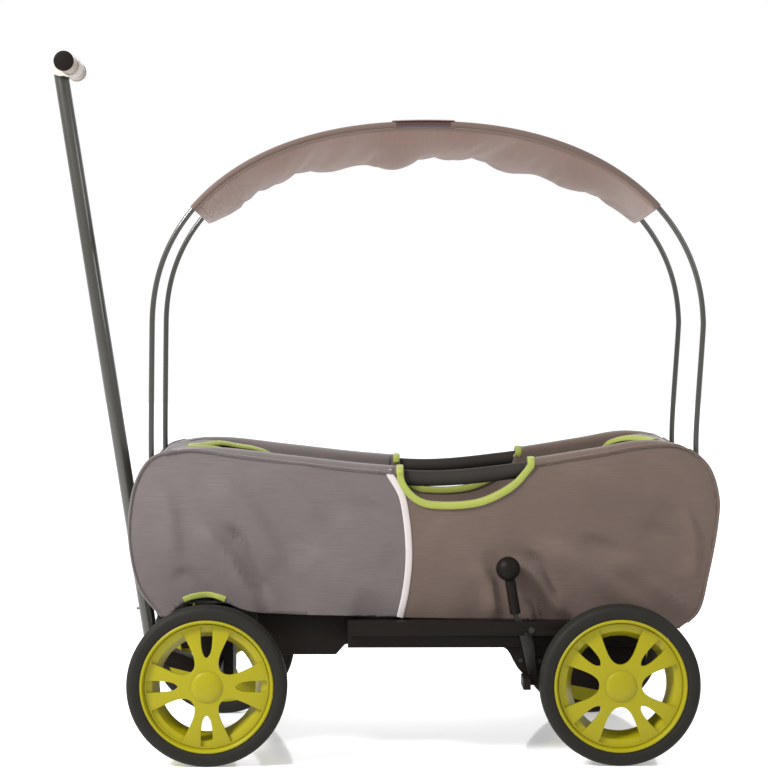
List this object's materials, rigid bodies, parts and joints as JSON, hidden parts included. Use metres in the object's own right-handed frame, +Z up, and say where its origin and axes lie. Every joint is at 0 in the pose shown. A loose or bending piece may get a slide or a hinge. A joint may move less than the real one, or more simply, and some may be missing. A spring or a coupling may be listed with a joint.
{
  "type": "pull-along wagon",
  "caption": "Pull-along wagon for children: long fabric tub on a moulded chassis, steered front wheels with a pull handle, lever brake and a sun canopy on two hoops.",
  "frame": {"origin": "on the floor under the middle of the bounding box", "axes": "+X to the rear of the wagon, so the pull handle is at -X; +Y to the far side; +Z up"},
  "size_m": [1.1025, 0.555, 1.1561],
  "materials": {
    "grey_cloth": "woven polyester, matt cool grey",
    "taupe_cloth": "woven polyester, matt taupe",
    "canopy_cloth": "woven polyester, matt light taupe",
    "black_plastic": "moulded, fine grained",
    "grip_foam": "closed-cell foam sleeve, matt",
    "tube_paint": "powder-coated steel tube, satin",
    "steel": "zinc-plated steel, satin",
    "ferrule_steel": "coated steel sleeve, satin",
    "rim_plastic": "moulded, satin yellow-green",
    "tyre_foam": "solid foam tyre, matt",
    "pale_plastic": "moulded, satin pale grey",
    "floor_board": "moulded board, matt"
  },
  "bodies": {
    "chassis": {"front_neck": "black_plastic", "chassis_spine": "black_plastic", "side_rail_near": "black_plastic", "side_rail_far": "black_plastic", "rear_bracket_near": "black_plastic", "rear_bracket_far": "black_plastic", "rear_axle": "steel", "kingpin": "steel", "floor_board": "floor_board", "rim_tube_near": "tube_paint", "rim_tube_far": "tube_paint", "grip_foam_near": "grip_foam", "grip_foam_far": "grip_foam", "front_bow": "tube_paint", "rear_bow": "tube_paint", "hoop_socket_front_near": "black_plastic", "hoop_socket_front_far": "black_plastic", "hoop_socket_rear_near": "black_plastic", "hoop_socket_rear_far": "black_plastic", "tub_front": "grey_cloth", "tub_rear": "taupe_cloth"},
    "steering": {"carriage": "black_plastic", "front_axle": "steel", "turntable_washer": "pale_plastic", "park_catch": "black_plastic", "handle_yoke": "black_plastic", "handle_pivot_pin": "steel"},
    "pull_handle": {"handle_tube": "tube_paint", "park_pin": "steel", "handle_hub": "pale_plastic", "grip_bar": "pale_plastic", "grip_end_near": "black_plastic", "grip_end_far": "pale_plastic"},
    "brake": {"brake_lever": "tube_paint", "brake_arm_far": "tube_paint", "brake_shaft": "steel", "brake_shoe_near": "black_plastic", "brake_shoe_far": "black_plastic", "brake_sleeve": "grip_foam", "brake_knob": "black_plastic"},
    "sun_canopy": {"hoop_front_half_near": "tube_paint", "hoop_front_half_far": "tube_paint", "hoop_rear_half_near": "tube_paint", "hoop_rear_half_far": "tube_paint", "hoop_ferrule_near": "ferrule_steel", "hoop_ferrule_far": "ferrule_steel", "canopy": "canopy_cloth"},
    "front_wheel_near": {"front_tyre_near": "tyre_foam", "front_rim_near": "rim_plastic", "front_hub_cap_near": "rim_plastic"},
    "front_wheel_far": {"front_tyre_far": "tyre_foam", "front_rim_far": "rim_plastic", "front_hub_cap_far": "rim_plastic"},
    "rear_wheel_near": {"rear_tyre_near": "tyre_foam", "rear_rim_near": "rim_plastic", "rear_hub_cap_near": "rim_plastic"},
    "rear_wheel_far": {"rear_tyre_far": "tyre_foam", "rear_rim_far": "rim_plastic", "rear_hub_cap_far": "rim_plastic"}
  },
  "joints": [
    {"name": "steering_turn", "type": "hinge", "parent": "chassis", "child": "steering", "pos_m": [-0.276, 0, 0.18], "axis": [0, 0, 1], "range_deg": [-20, 20]},
    {"name": "handle_tilt", "type": "hinge", "parent": "steering", "child": "pull_handle", "pos_m": [-0.382, 0, 0.146], "axis": [0, -1, 0], "range_deg": [0, 85]},
    {"name": "brake_turn", "type": "hinge", "parent": "chassis", "child": "brake", "pos_m": [0.236, 0, 0.202], "axis": [0, -1, 0], "range_deg": [0, 10]},
    {"name": "canopy_lift", "type": "slide", "parent": "chassis", "child": "sun_canopy", "axis": [0, 0, 1], "range_m": [0, 0.12]},
    {"name": "front_wheel_near_spin", "type": "hinge", "parent": "steering", "child": "front_wheel_near", "pos_m": [-0.276, -0.255, 0.1275], "axis": [0, 1, 0], "continuous": true},
    {"name": "front_wheel_far_spin", "type": "hinge", "parent": "steering", "child": "front_wheel_far", "pos_m": [-0.276, 0.255, 0.1275], "axis": [0, 1, 0], "continuous": true},
    {"name": "rear_wheel_near_spin", "type": "hinge", "parent": "chassis", "child": "rear_wheel_near", "pos_m": [0.38, -0.255, 0.1275], "axis": [0, 1, 0], "continuous": true},
    {"name": "rear_wheel_far_spin", "type": "hinge", "parent": "chassis", "child": "rear_wheel_far", "pos_m": [0.38, 0.255, 0.1275], "axis": [0, 1, 0], "continuous": true}
  ]
}
